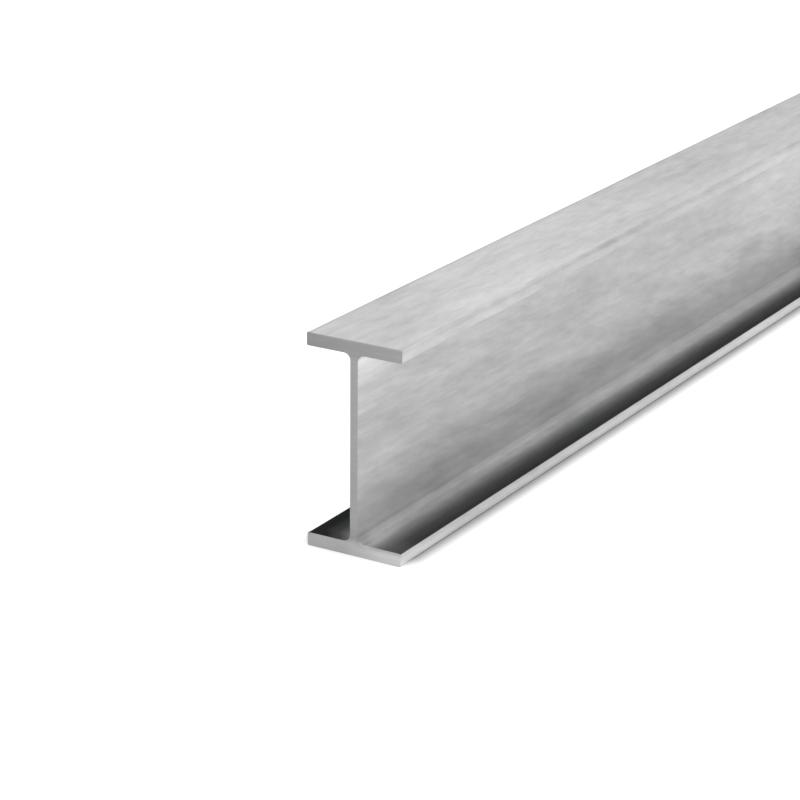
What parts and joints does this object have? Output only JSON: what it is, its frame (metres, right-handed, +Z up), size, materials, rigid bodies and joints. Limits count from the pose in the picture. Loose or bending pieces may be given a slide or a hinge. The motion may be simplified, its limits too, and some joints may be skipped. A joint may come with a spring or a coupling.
{
  "type": "wide-flange steel beam",
  "caption": "Hot-rolled steel beam: two flat parallel flanges joined by a thin upright web with rounded roots and square sawn ends, stock for frames, lintels and supports.",
  "frame": {"origin": "centre of the underside of the lower flange, halfway along the bar", "axes": "+Y along the bar, from the end nearest to the viewer to the far end; +Z up, along the depth of the section; +X across the flanges"},
  "size_m": [0.075, 2, 0.155],
  "materials": {
    "rolled_steel": "pale grey rolled steel, dull satin, with soft mottling and faint streaks along the bar, and dark film on the lower flange"
  },
  "bodies": {
    "root": {"beam": "rolled_steel"}
  },
  "joints": []
}
